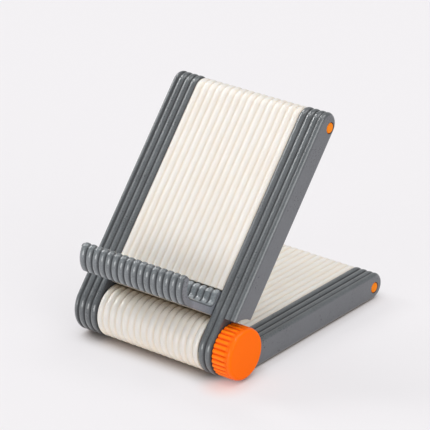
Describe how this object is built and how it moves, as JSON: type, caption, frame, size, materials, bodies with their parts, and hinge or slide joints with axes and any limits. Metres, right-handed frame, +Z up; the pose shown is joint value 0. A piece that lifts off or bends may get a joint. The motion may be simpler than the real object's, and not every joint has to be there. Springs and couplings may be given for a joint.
{
  "type": "foldable phone stand",
  "caption": "Foldable phone stand with two reeded cream panels between dark grey side rails, a reeded phone ledge and an orange clamp knob.",
  "frame": {"origin": "middle of the stand's footprint, on the desk, with the backrest leaning as in use", "axes": "+X along the hinge towards the clamp knob, +Y from the phone ledge to the rear of the base, +Z up"},
  "size_m": [0.1072, 0.1624, 0.1282],
  "materials": {
    "cream_plastic": "satin",
    "grey_plastic": "satin",
    "orange_plastic": "satin",
    "orange_rod": "satin",
    "steel": "zinc plated",
    "black_steel": "black oxide",
    "brass": "turned",
    "foot_rubber": "matte",
    "nylon": "matte"
  },
  "bodies": {
    "base": {"base_panel": "cream_plastic", "base_rail_left": "grey_plastic", "base_rail_right": "grey_plastic", "base_tie_rod": "orange_rod", "base_dowel_left": "steel", "base_dowel_right": "steel", "foot_front_left": "foot_rubber", "foot_front_right": "foot_rubber", "foot_rear_left": "foot_rubber", "foot_rear_right": "foot_rubber", "friction_washer_left": "nylon", "friction_washer_right": "nylon"},
    "backrest": {"back_panel": "cream_plastic", "back_rail_left": "grey_plastic", "back_rail_right": "grey_plastic", "back_tie_rod": "orange_rod", "back_dowel_left": "steel", "back_dowel_right": "steel", "ledge": "grey_plastic", "ledge_screw_left": "black_steel", "ledge_screw_right": "black_steel", "hinge_bolt": "steel", "knob_washer": "steel"},
    "clamp_knob": {"knob": "orange_plastic", "knob_insert": "brass"}
  },
  "joints": [
    {"name": "backrest_fold", "type": "hinge", "parent": "base", "child": "backrest", "pos_m": [0, -0.05226, 0.016], "axis": [1, 0, 0], "range_deg": [-50, 50]},
    {"name": "knob_turn", "type": "hinge", "parent": "backrest", "child": "clamp_knob", "pos_m": [0.0477, -0.05226, 0.016], "axis": [1, 0, 0], "range_deg": [0, 360]}
  ]
}
